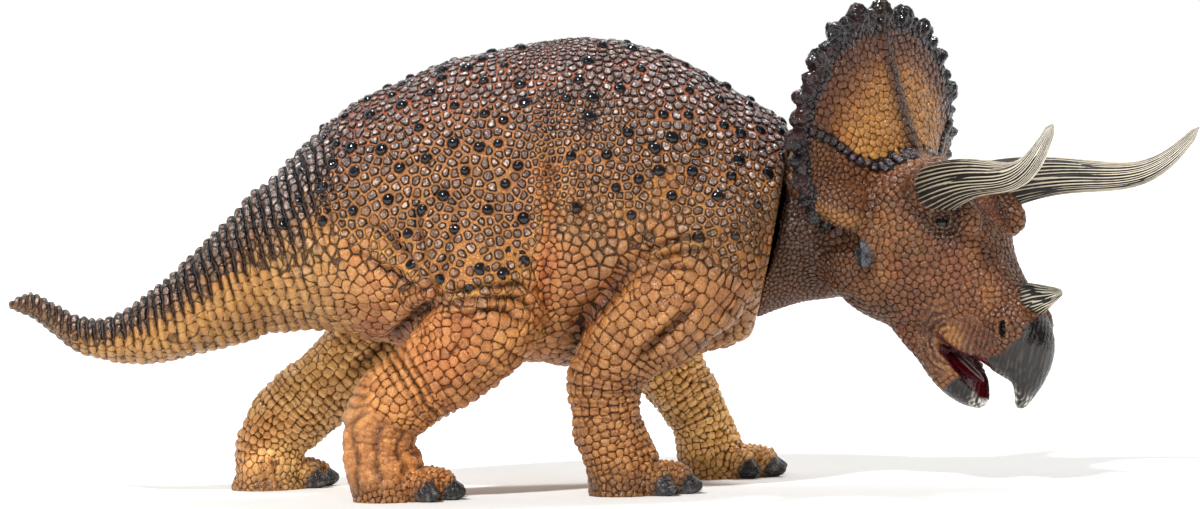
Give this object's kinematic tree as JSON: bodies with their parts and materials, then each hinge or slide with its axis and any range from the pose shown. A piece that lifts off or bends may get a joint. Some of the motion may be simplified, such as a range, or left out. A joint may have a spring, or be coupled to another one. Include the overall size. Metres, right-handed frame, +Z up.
{
  "type": "toy dinosaur figure",
  "caption": "Moulded vinyl figure of a horned, frilled four-legged dinosaur in a walking pose, head lowered and turned, on a swivelling neck plug.",
  "frame": {"origin": "the middle of the figure's bounding box, on the ground under it", "axes": "+X ahead, from the tail's tip towards the head; +Y the animal's left; +Z up"},
  "size_m": [0.3012, 0.1136, 0.1209],
  "materials": {
    "torso_skin": "moulded scales, dark purple brown on top over orange ochre",
    "tail_skin": "moulded ribs, dark brown on top over golden ochre",
    "leg_skin": "moulded plate scales, golden ochre with brown wash",
    "neck_skin": "fine moulded skin, dark brown",
    "head_skin": "moulded scales, reddish brown with dark washes",
    "frill_skin": "golden ochre with a near-black knobbed rim",
    "jaw_skin": "reddish brown with a grey beak tip",
    "horn": "bone white with dark dry-brushed grooves",
    "mouth": "glossy crimson",
    "eye": "glossy black"
  },
  "bodies": {
    "body": {"torso": "torso_skin", "tail": "tail_skin", "front_leg_right": "leg_skin", "front_leg_left": "leg_skin", "hind_leg_right": "leg_skin", "hind_leg_left": "leg_skin"},
    "head_group": {"neck": "neck_skin", "head": "head_skin", "frill": "frill_skin", "brow_horn_right": "horn", "brow_horn_left": "horn", "nose_horn": "horn", "lower_jaw": "jaw_skin", "mouth_lining": "mouth", "eye_right": "eye", "eye_left": "eye"}
  },
  "joints": [
    {"name": "neck_swivel", "type": "hinge", "parent": "body", "child": "head_group", "pos_m": [0.04341, 0.01583, 0.0628], "axis": [0.9781, 0, -0.2079], "range_deg": [-12, 12]}
  ]
}
